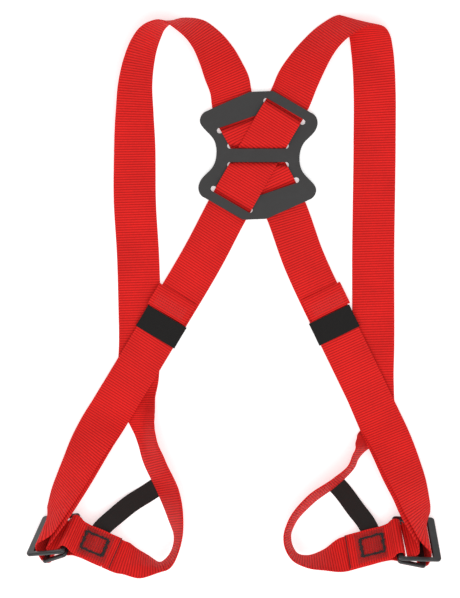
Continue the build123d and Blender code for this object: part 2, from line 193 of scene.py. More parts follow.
LINKS = {
    "left": [(-76, -205, 0.8, -52, 0), (-88, -213, 0.9, -52, 0), (-105, -223.5, 6.5, -50, 0),
             (-122, -237, 14.5, -42, 0), (-137, -250.5, 22, -32, 0), (-142.5, -258.5, 29.5, -26, 0)],
    "right": [(113, -203, 0.8, 41, 0), (119, -209.5, 1.2, 40, 0), (134, -229.5, 6, 36, 0),
              (147, -247, 12.5, 24, 0), (150.6, -254.5, 16, 18, 0), (153.5, -262.5, 22.6, 15, 0)],
}
ARCHES = {"left": LEFT_ARCH, "right": RIGHT_ARCH}
RUNS = {"left": LEFT_RUN, "right": RIGHT_RUN}
LOOPS = {"left": LEFT_LOOP, "right": RIGHT_LOOP}
SLOTS = {"right": (vec(26.6, 48.0), -30.3), "left": (vec(-18.0, 34.3), 18.7)}
SLIDE_WAY = {"left": unit(vec(-32.4, -54, 0)), "right": unit(vec(34.3, -70.8, 0))}
KEEPER_MID = {"left": vec(-77.8, -33.2, PAIR_Z), "right": vec(107.5, -31.4, PAIR_Z)}
NEAR_MID = {"left": vec(-174.2, -252.9, 43.5), "right": vec(174.3, -258.5, 37.5)}
BAR_WAY = {"left": unit(vec(-0.302, -0.692, 0.656)), "right": unit(vec(0.123, -0.77, 0.625))}
FRAME_WAY = {"left": vec(-0.865, -0.0905, -0.494), "right": vec(0.97, -0.04, -0.24)}
SEWN_WAY = {"left": vec(0.917, -0.4, 0), "right": vec(-0.957, -0.262, -0.13)}
CUT_END = {"left": 53.0, "right": 56.0}
BOX_MID = 28.0            # box seam's middle from the near bar
BOX_HALF = (12.2, 11.7)


class Buckle:
    """Axes of one buckle: u away from the sewn end, w along the bars, n out of the frame."""

    def __init__(self, side):
        self.at = NEAR_MID[side]
        self.w = BAR_WAY[side]
        self.u = square_to(FRAME_WAY[side], self.w)
        self.n = upward(np.cross(self.u, self.w))
        self.s = square_to(SEWN_WAY[side], self.w)
        self.m = upward(np.cross(self.s, self.w))


BUCKLES = {side: Buckle(side) for side in SIDES}


# ---- curves through stations ------------------------------------------------------------------
def through(knots, values, at):
    """Smooth curve through values at knots, read at other parameters."""
    slope = np.gradient(values, knots, axis=0)
    i = np.clip(np.searchsorted(knots, at, side="right") - 1, 0, len(knots) - 2)
    h = (knots[i + 1] - knots[i])[:, None]
    f = ((at - knots[i]) / h[:, 0])[:, None]
    return ((2 * f ** 3 - 3 * f ** 2 + 1) * values[i] + (f ** 3 - 2 * f ** 2 + f) * h * slope[i]
            + (3 * f ** 2 - 2 * f ** 3) * values[i + 1] + (f ** 3 - f ** 2) * h * slope[i + 1])


def smoothstep(x):
    x = np.clip(x, 0, 1)
    return x * x * (3 - 2 * x)


CREASE_SOFT = 4.5         # half the width over which a crease bends


class Lay:
    """A strap's middle surface, read at any place along it."""

    def __init__(self, stations, half=HALF_W):
        self.p = np.array([s[0] for s in stations])
        self.low = np.array([s[1] for s in stations])
        self.high = np.array([s[2] for s in stations])
        self.wing = np.array([[s[3]] for s in stations])
        self.half = half
        gaps = np.linalg.norm(np.diff(self.p, axis=0), axis=1)
        self.knots = np.concatenate([[0], np.cumsum(gaps)])
        fine = np.linspace(0, self.knots[-1], int(self.knots[-1] * 2) + 2)
        mid = self.surface(fine, np.array([-1.0, 0.0, 1.0]))[:, 1]
        run = np.concatenate([[0], np.cumsum(np.linalg.norm(np.diff(mid, axis=0), axis=1))])
        self.fine, self.run = fine, run
        self.length = run[-1]

    def surface(self, at, t):
        """Points at parameters at, across positions t measured from the strap's middle."""
        p = through(self.knots, self.p, at)
        low = unit(through(self.knots, self.low, at))
        high = unit(through(self.knots, self.high, at))
        crease = through(self.knots, self.wing, at) - self.half
        q = t[None, :] - crease
        share = smoothstep((q + CREASE_SOFT) / (2 * CREASE_SOFT))[..., None]
        way = unit(low[:, None, :] * (1 - share) + high[:, None, :] * share)
        steps = 0.5 * (way[:, 1:] + way[:, :-1]) * np.diff(t)[None, :, None]
        c = np.concatenate([np.zeros_like(way[:, :1]), np.cumsum(steps, axis=1)], axis=1)
        j = np.clip(np.searchsorted(t, crease[:, 0]) - 1, 0, len(t) - 2)
        rows = np.arange(len(at))
        f = ((crease[:, 0] - t[j]) / (t[j + 1] - t[j]))[:, None]
        anchor = c[rows, j] * (1 - f) + c[rows, j + 1] * f
        return c - anchor[:, None] + p[:, None]

    def grid(self, t, per_rib=PER_RIB, pitch=RIB, start=0.0, end=None):
        """Rows of points in step with the ribs, and how far along each row is."""
        end = self.length if end is None else end
        ribs = max(int(round((end - start) / pitch)), 1)
        s = np.linspace(start, end, ribs * per_rib + 1)
        return self.surface(np.interp(s, self.run, self.fine), t), s


# ---- meshes -------------------------------------------------------------------------------------
def normals_of(c):
    """Unit normals of a grid of points, along x across."""
    along = np.gradient(c, axis=0)
    wide = np.gradient(c, axis=1)
    return unit(np.cross(along, wide))


def mesh_object(name, points, faces, uvs=None, material=None, smooth=True):
    """A mesh piece from points in mm, faces and, per face corner, UVs in mm."""
    mesh = bpy.data.meshes.new(name)
    mesh.from_pydata((np.asarray(points) * MM).tolist(), [], [list(map(int, f)) for f in faces])
    if uvs is not None:
        layer = mesh.uv_layers.new(name="weave")
        layer.data.foreach_set("uv", (np.asarray(uvs, np.float32) * UV_PER_MM).ravel())
    mesh.polygons.foreach_set("use_smooth", [smooth] * len(mesh.polygons))
    mesh.update()
    made = bpy.data.objects.new(name, mesh)
    bpy.context.scene.collection.objects.link(made)
    if material:
        mesh.materials.append(material)
    return made


def skin(top, bottom, s, t, thick):
    """Points, quads and UVs of a closed strap between two grids of points."""
    rows, cols = top.shape[:2]
    ring = np.concatenate([top, bottom[:, ::-1]], axis=1)
    k = 2 * cols
    r, c = np.meshgrid(np.arange(rows - 1), np.arange(k), indexing="ij")
    nxt = (c + 1) % k
    faces = np.stack([r * k + c, (r + 1) * k + c, (r + 1) * k + nxt, r * k + nxt], axis=-1)
    faces = faces.reshape(-1, 4)
    round_v = np.concatenate([t, 2 * t[-1] + thick - t[::-1], [3 * t[-1] + 2 * thick - t[0]]])
    v0, v1 = round_v[c], round_v[c + 1]
    u0, u1 = s[r], s[r + 1]
    uvs = np.stack([np.stack([u0, v0], -1), np.stack([u1, v0], -1), np.stack([u1, v1], -1),
                    np.stack([u0, v1], -1)], axis=2).reshape(-1, 2)
    caps = []
    cap_uvs = []
    for row in (0, rows - 1):
        for j in range(cols - 1):
            a = row * k
            quad = [a + j, a + j + 1, a + k - 2 - j, a + k - 1 - j]
            caps.append(quad if row == 0 else quad[::-1])
            cap_uvs += [[s[row], t[j]]] * 4
    faces = np.concatenate([faces, np.array(caps)])
    return ring.reshape(-1, 3), faces, np.concatenate([uvs, np.array(cap_uvs)])


# across positions on one face, with the half thickness and rib height at each
EDGE_IN = np.array([0.0, 0.3, 0.9, 1.9, 2.5, 3.3])
EDGE_BASE = np.array([0.15, 0.45, 0.58, 0.52, 0.30, 0.36])
EDGE_RIB = np.array([0.08, 0.14, 0.2, 0.2, 0.28, 0.5])
INNER = np.linspace(-1, 1, 11)[1:-1]


def columns(half=HALF_W):
    """Across positions, half thickness and rib height of a ribbed strap."""
    flat = half - EDGE_IN[-1]
    inner = INNER * flat
    t = np.concatenate([-half + EDGE_IN, inner, (half - EDGE_IN)[::-1]])
    base = np.concatenate([EDGE_BASE, np.full(len(inner), 0.36), EDGE_BASE[::-1]])
    rib = np.concatenate([EDGE_RIB, np.full(len(inner), 0.5), EDGE_RIB[::-1]])
    return t, base, rib


def rib_height(phase):
    """Round rib with a narrow groove, 0 to 1."""
    return np.abs(np.sin(np.pi * phase)) ** 0.75


def webbing(name, c, s, t, base, rib, material, skew=0.0):
    """Ribbed webbing round a grid of middle points."""
    along = unit(np.gradient(c, axis=0))
    wide = unit(np.gradient(c, axis=1))
    n = unit(np.cross(along, wide))
    bow = skew * t[None, :, None]
    c = c + along * bow
    height = rib_height(s / RIB)[:, None]
    under = rib_height(s / RIB + 0.5)[:, None]
    grow = np.where(np.abs(t) > t[-1] - 0.6, 0.16, 0.0) * np.sign(t)
    grown = c + wide * (grow[None, :] * height)[..., None]
    top = grown + n * (base[None, :] + rib[None, :] * height)[..., None]
    bottom = grown - n * (base[None, :] + rib[None, :] * under)[..., None]
    points, faces, uvs = skin(top, bottom, s, t, WEB_T)
    points[:, 2] = np.maximum(points[:, 2], LOWEST_Z)
    return mesh_object(name, points, faces, uvs, material)


def tube(points, radius, sides=5):
    """Points and faces of a round thread along a polyline."""
    p = np.asarray(points, float)
    ahead = unit(np.gradient(p, axis=0))
    side = unit(np.cross(ahead, vec(0.31, 0.17, 0.93)))
    up = np.cross(ahead, side)
    a = np.linspace(0, 2 * np.pi, sides, endpoint=False)
    spokes = side[:, None] * np.cos(a)[None, :, None] + up[:, None] * np.sin(a)[None, :, None]
    ring = p[:, None] + radius * spokes
    faces = []
    for i in range(len(p) - 1):
        for j in range(sides):
            k = (j + 1) % sides
            faces.append([i * sides + j, i * sides + k, (i + 1) * sides + k, (i + 1) * sides + j])
    faces.append(list(range(sides))[::-1])
    faces.append([(len(p) - 1) * sides + j for j in range(sides)])
    return ring.reshape(-1, 3), faces


def threads(name, lines, radius, material):
    """One piece made of several threads."""
    points, faces, first = [], [], 0
    for line in lines:
        p, f = tube(line, radius)
        points.append(p)
        faces += [[first + i for i in face] for face in f]
        first += len(p)
    return mesh_object(name, np.concatenate(points), faces, None, material)


def zigzag(a, b, side, out, width, pitch, jitter, rng, sink=0.0):
    """A zig-zag seam from a to b: rises over the webbing and dips into it at each turn."""
    length = np.linalg.norm(b - a)
    count = max(int(length / pitch), 2)
    line = []
    for i in range(count + 1):
        f = i / count
        wob = rng.uniform(-jitter, jitter)
        turn = a + (b - a) * f + side * ((width / 2 + wob) * (1 if i % 2 else -1))
        line.append(turn - out * sink)
        if i < count:
            mid = a + (b - a) * ((i + 0.5) / count)
            line.append(mid + out * 0.12)
    return line


# ---- materials -----------------------------------------------------------------------------------
class Nodes:
    """Short calls for building a shader."""

    def __init__(self, name):
        self.mat = bpy.data.materials.new(name)
        self.mat.use_nodes = True
        self.tree = self.mat.node_tree
        self.shader = self.tree.nodes["Principled BSDF"]

    def new(self, kind, **values):
        node = self.tree.nodes.new(kind)
        for key, value in values.items():
            setattr(node, key, value)
        return node

    def put(self, value, socket):
        if isinstance(value, bpy.types.NodeSocket):
            self.tree.links.new(value, socket)
        elif value is not None:
            socket.default_value = value

    def math(self, op, a, b=None):
        node = self.new("ShaderNodeMath", operation=op)
        self.put(a, node.inputs[0])
        self.put(b, node.inputs[1])
        return node.outputs[0]

    def mix(self, factor, a, b, blend="MIX"):
        node = self.new("ShaderNodeMix", data_type="RGBA", blend_type=blend)
        self.put(factor, node.inputs["Factor"])
        self.put(a, node.inputs["A"] if not isinstance(a, tuple) else node.inputs[6])
        self.put(b, node.inputs["B"] if not isinstance(b, tuple) else node.inputs[7])
        return node.outputs[2]

    def tinted(self, colour, shade):
        """A colour made lighter or darker by a grey factor."""
        grey = self.new("ShaderNodeCombineColor")
        for socket in grey.inputs[:3]:
            self.put(shade, socket)
        return self.mix(1.0, colour, grey.outputs[0], "MULTIPLY")

    def noise(self, vector, scale, detail=3.0, rough=0.55):
        node = self.new("ShaderNodeTexNoise")
        self.put(vector, node.inputs["Vector"])
        self.put(scale, node.inputs["Scale"])
        self.put(detail, node.inputs["Detail"])
        self.put(rough, node.inputs["Roughness"])
        return node.outputs[0]

    def ramp(self, value, low, high, to_low, to_high):
        node = self.new("ShaderNodeMapRange")
        for socket, v in zip(node.inputs, (value, low, high, to_low, to_high)):
            self.put(v, socket)
        return node.outputs[0]

    def object_space(self):
        return self.new("ShaderNodeTexCoord").outputs["Object"]

    def along_and_across(self):
        """Distances along and across a strap, in mm."""
        uv = self.new("ShaderNodeUVMap", uv_map="weave").outputs[0]
        split = self.new("ShaderNodeSeparateXYZ")
        self.put(uv, split.inputs[0])
        return tuple(self.math("MULTIPLY", way, 1 / UV_PER_MM) for way in split.outputs[:2])

    def bump(self, height, strength, distance):
        node = self.new("ShaderNodeBump")
        self.put(strength, node.inputs["Strength"])
        self.put(distance, node.inputs["Distance"])
        self.put(height, node.inputs["Height"])
        return node.outputs[0]

    def finish(self, colour, rough, normal=None, **constants):
        self.put(colour, self.shader.inputs["Base Color"])
        self.put(rough, self.shader.inputs["Roughness"])
        if normal is not None:
            self.put(normal, self.shader.inputs["Normal"])
        for key, value in constants.items():
            self.shader.inputs[key.replace("_", " ")].default_value = value
        return self.mat


YARN = 0.9                # pitch of the webbing's warp yarns


def ribbed_red(name, ridge, groove):
    """Ribbed polyester webbing: round cross ribs of many fine warp yarns, fuzzier selvedges. The groove
    colour is painted shade that darkens the webbing between the ribs.
    """
    g = Nodes(name)
    along, wide = g.along_and_across()
    wave = g.math("ABSOLUTE", g.math("SINE", g.math("MULTIPLY", along, math.pi / RIB)))
    space = g.object_space()
    mottle = g.noise(space, 900.0, 3.0)
    cloud = g.noise(space, 22.0, 2.0)
    yarns = g.math("MULTIPLY", wide, 2 * math.pi / YARN)
    yarn = g.math("SINE", g.math("ADD", yarns, g.math("MULTIPLY", mottle, 3.0)))
    # painted shade: the colour falls from the ridge colour to the darker groove colour in the hollows
    # between the ribs
    lit = g.ramp(wave, 0.0, 0.85, 0.0, 1.0)
    tone = g.mix(lit, groove, ridge)
    fleck = g.ramp(mottle, 0.3, 0.7, 0.86, 1.12)
    fade = g.ramp(cloud, 0.3, 0.7, 0.93, 1.06)
    thread = g.ramp(yarn, -1.0, 1.0, 0.94, 1.04)
    shade = g.math("MULTIPLY", g.math("MULTIPLY", fleck, fade), thread)
    tone = g.tinted(tone, shade)
    height = g.math("ADD", g.math("MULTIPLY", yarn, 0.5), g.math("MULTIPLY", mottle, 1.2))
    normal = g.bump(height, 0.55, 0.00018)
    rough = g.ramp(mottle, 0.3, 0.7, 0.62, 0.82)
    return g.finish(tone, rough, normal, Sheen_Weight=0.02, Sheen_Roughness=0.5, Specular_IOR_Level=0.16)


def knit_black(name, colour, pitch, slant):
    """Fine black elastic or tape: close slanting rows."""
    g = Nodes(name)
    along, wide = g.along_and_across()
    space = g.object_space()
    mottle = g.noise(space, 1100.0, 3.0)
    slanted = g.math("ADD", along, g.math("MULTIPLY", wide, slant))
    rows = g.math("SINE", g.math("MULTIPLY", slanted, 2 * math.pi / pitch))
    cols = g.math("SINE", g.math("MULTIPLY", wide, 2 * math.pi / (pitch * 0.8)))
    weave = g.math("ADD", g.math("MULTIPLY", rows, 0.7), g.math("MULTIPLY", cols, 0.3))
    shade = g.math("MULTIPLY", g.ramp(weave, -1.0, 1.0, 0.62, 1.38), g.ramp(mottle, 0.3, 0.7, 0.85, 1.15))
    normal = g.bump(weave, 0.6, 0.00022)
    rough = g.ramp(mottle, 0.3, 0.7, 0.72, 0.9)
    return g.finish(g.tinted(colour, shade), rough, normal, Sheen_Weight=0.03, Sheen_Roughness=0.5,
                    Specular_IOR_Level=0.2)


def moulded_plate(name):
    """Matt moulded nylon with a fine spark texture and light scuffs."""
    g = Nodes(name)
    space = g.object_space()
    grain = g.noise(space, 1500.0, 2.0)
    scuff = g.noise(space, 60.0, 6.0, 0.7)
    tone = g.mix(g.ramp(scuff, 0.5, 0.78, 0.0, 0.5), (0.034, 0.033, 0.033, 1), (0.052, 0.050, 0.050, 1))
    rough = g.ramp(scuff, 0.35, 0.75, 0.5, 0.68)
    return g.finish(tone, rough, g.bump(grain, 0.25, 0.0002), Specular_IOR_Level=0.3)


def coated_metal(name):
    """Smooth black coating on pressed metal, with a faint orange peel and rubbed spots."""
    g = Nodes(name)
    space = g.object_space()
    peel = g.noise(space, 700.0, 2.0)
    rub = g.noise(space, 130.0, 5.0, 0.65)
    tone = g.mix(g.ramp(rub, 0.55, 0.8, 0.0, 0.6), (0.010, 0.010, 0.011, 1), (0.035, 0.035, 0.035, 1))
    rough = g.ramp(rub, 0.3, 0.75, 0.3, 0.46)
    return g.finish(tone, rough, g.bump(peel, 0.12, 0.0001), Specular_IOR_Level=0.55, Coat_Weight=0.15,
                    Coat_Roughness=0.3)


def sewing_thread(name, colour, dark):
    """Twisted bonded thread."""
    g = Nodes(name)
    space = g.object_space()
    twist = g.noise(space, 2600.0, 2.0)
    tone = g.mix(g.ramp(twist, 0.35, 0.65, 0.0, 1.0), dark, colour)
    return g.finish(tone, g.ramp(twist, 0.3, 0.7, 0.5, 0.75), g.bump(twist, 0.4, 0.0001), Sheen_Weight=0.1)


# the second colour is painted shade for the grooves between the ribs, not a different dye
RED = ribbed_red("webbing_red", (0.81, 0.0175, 0.0145, 1), (0.36, 0.002, 0.002, 1))
ELASTIC = knit_black("elastic_black", (0.0125, 0.0115, 0.011, 1), KNIT_PITCH, KNIT_SLANT)
TAPE = knit_black("tape_black", (0.018, 0.016, 0.015, 1), 1.1, 0.0)
PLATE = moulded_plate("plate_nylon")
METAL = coated_metal("buckle_metal")
BLACK_THREAD = sewing_thread("thread_black", (0.012, 0.011, 0.011, 1), (0.004, 0.004, 0.004, 1))
RED_THREAD = sewing_thread("thread_red", (0.62, 0.014, 0.012, 1), (0.24, 0.004, 0.004, 1))
BROWN_THREAD = sewing_thread("thread_dark_red", (0.060, 0.010, 0.008, 1), (0.012, 0.004, 0.004, 1))
PALE_RED_THREAD = sewing_thread("thread_bright_red", (0.80, 0.05, 0.045, 1), (0.55, 0.02, 0.02, 1))

# ---- the two long straps ------------------------------------------------------------------------
T, BASE, RIBS = columns()
OVER_Z = PLATE_TOP + 0.3 + WEB_T / 2
OVER_TOP_Z = OVER_Z + LAYER
UNDER_Z = 1.1
SWELL = 0.8               # bow of the webbing over the plate
LOAD_SLIDES = [1.5, 3.0, 3.8, 4.2, 4.6, 4.4, 3.4, 1.0, 0.0]    # load layer's last stations, sideways


def slot_height(e, top_z):
    """Height of the strap by distance past an angled slot's middle."""
    rise = top_z - OVER_Z
    x = [-16, -5, -1.4, 0.2, 1.2, 3.2 + rise / 4, 12]
    z = [BEHIND_Z, BEHIND_Z, 3.4, 4.8, 7.6 + rise / 3, top_z, top_z]
    return np.interp(e, x, z)


def bar_height(e, top_z, low_z):
    """Height of the strap by distance past the middle bar's slot."""
    if top_z > OVER_Z:
        x, z = [-26, -2.0, 0.2, 1.4, 1.6, 2.6, 4.2], [top_z, top_z, 9.7, 7.6, 4.7, 3.3, low_z]
    else:
        x, z = [-26, -2.3, -1.4, -1.2, -0.2, 4.2], [top_z, top_z, 7.9, 3.7, 1.7, low_z]
    return np.interp(e, x, z)


def woven(c, slot, tilt, top_z, low_z, rows):
    """Lifts the middle rows of a grid through the plate's slots."""
    part = c[rows].copy()
    flat = part[..., :2] - PLATE_C
    inward = vec(math.sin(math.radians(tilt)), -math.cos(math.radians(tilt)))
    near = slot_height((flat - slot) @ inward, top_z)
    far = slot_height((flat + slot) @ -inward, top_z)
    middle = bar_height(BAR_HALF + SLOT_W / 2 - np.abs(flat[..., 1]), top_z, low_z)
    z = np.minimum(np.minimum(near, far), middle)
    on_top = np.clip((z - top_z + 0.5) / 0.5, 0, 1)
    z = z + SWELL * on_top * np.sin(np.pi * np.clip(np.abs(flat[..., 1]) / 46.0 - 0.16, 0, 1))
    for _ in range(3):
        z[1:-1] = (z[:-2] + 2 * z[1:-1] + z[2:]) / 4
    part[..., 2] = z
    c[rows] = part
    return c


def load_stations(side):
    """The lower layer of a diagonal, down to the buckle window."""
    b = BUCKLES[side]
    base = [station(r) for r in RUNS[side]]
    for place in (b.at + b.u * (MID_U - 1.5) + b.n * 6.5 - b.w * 1.2, b.at + b.u * MID_U):
        base.append((place, b.w, b.w, HALF_W))
    return base if side == "left" else turned(base)


def tail_lifts(count):
    """The upper layer rises off the lower one towards the buckle."""
    return [LAYER / 2] * (count - 5) + [1.05, 1.2, 1.6, 2.6, TAIL_U - MID_U]


def load_lifts(count):
    """The lower layer leaves the upper one and dips through the window close to the near bar."""
    ends = [-1.3, -1.6, -2.4, -9.5, LOAD_U - MID_U]
    return [BEHIND_Z - PAIR_Z] + [-LAYER / 2] * (count - 6) + ends


def long_strap(side):
    """Tie-in loop, shoulder arch, plate and the opposite diagonal, as the one strap it is."""
    over = side == "right"
    top_z, low_z = (OVER_TOP_Z, BEHIND_Z) if over else (OVER_Z, UNDER_Z)
    b = BUCKLES[side]
    half_m = (b.n * -BAR_STACK) @ b.m / 2
    ends = [(b.at + b.s * (CUT_END[side] + d) + b.m * (half_m - SEWN_LAYER), b.w, b.w, HALF_W)
            for d in (5, -9)]
    loop = [station(r) for r in LOOPS[side]] + ends
    if side == "right":
        loop = turned(loop)
    loop = loop[::-1]
    arch = [station(r) for r in ARCHES[side]]
    slot, tilt = SLOTS[side]
    course = unit(-slot)
    wide = vec(-course[1], course[0], 0)
    weave = [(vec(*(PLATE_C + course * d), BEHIND_Z), wide, wide, HALF_W) for d in (-26, 0, 26)]
    run = load_stations(OTHER[side])
    count = len(run)
    slides = [0.0] * (count - len(LOAD_SLIDES)) + LOAD_SLIDES
    if OTHER[side] == "right":
        slides = [-v for v in slides]
    run = lifted(run, load_lifts(count), slides)
    lay = Lay(loop + arch[1:] + weave + run)
    c, s = lay.grid(T)
    first = len(loop) + len(arch) - 2
    starts = np.interp(lay.knots[[first, first + 4]], lay.fine, lay.run)
    rows = (s > starts[0]) & (s < starts[1])
    c = woven(c, slot, tilt, top_z, low_z, rows)
    strap = webbing(f"strap_from_{side}", c, s, T, BASE, RIBS, RED, skew=RIB_SKEW)
    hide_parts(f"tie_in_loop_{side}", f"shoulder_arch_{side}", f"weave_from_{side}",
                f"load_strap_{OTHER[side]}")
    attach(strap, "harness")


for side in SIDES:
    long_strap(side)


# ---- tails, folded ends, keepers ---------------------------------------------------------------
def tail(side):
    """The upper layer of a diagonal, from the keeper to the buckle window."""
    base = load_stations(side)
    run = lifted(base, tail_lifts(len(base)))[3:]
    way = SLIDE_WAY[side]
    start = KEEPER_MID[side] - way * (KEEPER_LEN / 2 + KEEPER_CLEAR) + UP * LAYER / 2
    wide = base[2][1]
    lay = Lay([(start, wide, wide, HALF_W), (start + way * 20, wide, wide, HALF_W)] + run)
    c, s = lay.grid(T)
    strap = webbing(f"tail_web_{side}", c, s, T, BASE, RIBS, RED, skew=RIB_SKEW)
    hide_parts(f"tail_strap_{side}")
    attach(strap, "harness")


def band_grid(path, origin, x_way, y_way, wide, t=T):
    """Rows of points for a band whose side profile is a 2-D path, smoothed."""
    path = np.asarray(path, float)
    knots = np.concatenate([[0], np.cumsum(np.linalg.norm(np.diff(path, axis=0), axis=1))])
    fine = np.linspace(0, knots[-1], 600)
    curve = through(knots, path, fine)
    run = np.concatenate([[0], np.cumsum(np.linalg.norm(np.diff(curve, axis=0), axis=1))])
    ribs = max(int(round(run[-1] / RIB)), 1)
    s = np.linspace(0, run[-1], ribs * PER_RIB + 1)
    at = through(knots, path, np.interp(s, run, fine))
    c = origin + at[:, :1] * x_way + at[:, 1:] * y_way
    return c[:, None] + wide * t[None, :, None], s


def folded_end(side):
    """The tail's end: turned back on itself above the keeper and sewn down."""
    way = SLIDE_WAY[side]
    wide = square_to(load_stations(side)[2][1], way)
    out = wide * (-3.0 if side == "left" else 3.0)
    origin = KEEPER_MID[side] - way * (KEEPER_LEN / 2 + KEEPER_CLEAR) + out
    origin = vec(origin[0], origin[1], 0)
    path = [(-0.4, 6.35), (-8, 6.35), (-18, 6.4), (-23.5, 6.45), (-25.0, 7.0), (-24.3, 7.8),
            (-22.0, 8.6), (-19.0, 9.15), (-13, 9.25), (-6, 9.1), (-0.4, 8.75)]
    c, s = band_grid([(-x, z) for x, z in path], origin, -way, UP, wide)
    fold = webbing(f"folded_end_{side}", c, s, T, BASE, RIBS, RED)
    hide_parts(f"tail_stop_{side}")
    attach(fold, "harness")
    rng = random.Random(SEED)
    lines = []
    for k in range(6):
        reach = 16.5 - 2.4 * k
        a = origin - way * reach - wide * 17.5 + UP * 9.95
        b = origin - way * reach + wide * 17.5 + UP * 9.95
        lines.append(zigzag(a, b, way, UP, 2.1, 1.25, 0.2, rng, sink=0.35))
    seam = threads(f"fold_stitch_{side}", lines, 0.24, PALE_RED_THREAD)
    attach(seam, "harness")


def keeper(side):
    """Knitted elastic sleeve round both layers, drawn in a little between its rims."""
    way = SLIDE_WAY[side]
    wide = square_to(load_stations(side)[2][1], way)
    half_w, half_h, thick = 23.95, 3.15, 0.85
    count = 160
    ring = []
    for i in range(count):
        a = 2 * math.pi * i / count
        x = half_w * math.copysign(abs(math.cos(a)) ** 0.16, math.cos(a))
        z = half_h * math.copysign(abs(math.sin(a)) ** 0.30, math.sin(a))
        ring.append((x, z))
    ring = np.array(ring)
    gaps = np.linalg.norm(np.roll(ring, -1, axis=0) - ring, axis=1)
    v = np.concatenate([[0], np.cumsum(gaps)])
    u = np.linspace(-KEEPER_LEN / 2, KEEPER_LEN / 2, 53)
    ahead = np.roll(ring, -1, axis=0) - np.roll(ring, 1, axis=0)
    out = unit(np.stack([ahead[:, 1], -ahead[:, 0]], axis=1))
    rows = []
    for uu in u:
        rim = 0.10 * math.exp(-((abs(uu) - KEEPER_LEN / 2) / 1.2) ** 2)
        waist = -0.10 * math.cos(math.pi * uu / KEEPER_LEN) ** 2
        knit = 0.07 * np.sin(2 * math.pi * (uu + KNIT_SLANT * v[:-1]) / KNIT_PITCH)
        rows.append(ring + out * (rim + waist + knit)[:, None])
    outer = np.array(rows)
    inner = np.array([ring - out * thick] * len(u))
    mid = KEEPER_MID[side]

    def place(section):
        return mid + u[:, None, None] * way + section[..., :1] * wide + section[..., 1:] * UP

    a, b = place(outer), place(inner)
    rows_n, k = a.shape[:2]
    points = np.concatenate([a.reshape(-1, 3), b.reshape(-1, 3)])
    faces, uvs = [], []
    size = rows_n * k
    for r in range(rows_n - 1):
        for j in range(k):
            q = (j + 1) % k
            quad = [r * k + j, r * k + q, (r + 1) * k + q, (r + 1) * k + j]
            corner_uv = [(u[r], v[j]), (u[r], v[j + 1]), (u[r + 1], v[j + 1]), (u[r + 1], v[j])]
            faces.append(quad)
            uvs += corner_uv
            faces.append([size + i for i in quad[::-1]])
            uvs += corner_uv[::-1]
    for r, flip in ((0, True), (rows_n - 1, False)):
        for j in range(k):
            q = (j + 1) % k
            quad = [r * k + j, r * k + q, size + r * k + q, size + r * k + j]
            corner_uv = [(u[r], v[j]), (u[r], v[j + 1]), (u[r], v[j + 1]), (u[r], v[j])]
            faces.append(quad[::-1] if flip else quad)
            uvs += corner_uv[::-1] if flip else corner_uv
    sleeve = mesh_object(f"elastic_keeper_{side}", points, faces, uvs, ELASTIC)
    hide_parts(f"keeper_{side}")
    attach(sleeve, f"{side}_keeper")


# ---- buckle end: turn round the lower frame, sewn end, stitching, link strap ---------------------
def arc(cx, cy, r, start, end, count):
    """Points of an arc in a side profile, between two angles in degrees."""
    turns = [math.radians(start + k * ((end - start) / count)) for k in range(count + 1)]
    return [(cx + r * math.cos(a), cy + r * math.sin(a)) for a in turns]


def turn(side):
    """The strap's turn round the lower frame's far bar."""
    b = BUCKLES[side]
    drop = math.radians(LOWER_DROP)
    cu = LOWER_REACH * math.cos(drop) + TURN_SHIFT[0]
    cn = -BAR_STACK - LOWER_REACH * math.sin(drop) + TURN_SHIFT[1]
    path = [(TAIL_U, 0.4), (TAIL_U + 0.3, -2.5), (cu + TURN_R, cn + 3)] + arc(cu, cn, TURN_R, 0, -180, 8)
    path += [(cu - TURN_R - 1.5, cn + 3.4), (LOAD_U + 2.4, -2.8), (LOAD_U, 0.4)]
    c, s = band_grid(path, b.at, b.u, b.n, b.w)
    bight = webbing(f"turn_web_{side}", c, s, T, BASE, RIBS, RED)
    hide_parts(f"buckle_turn_{side}")
    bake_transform(bight)


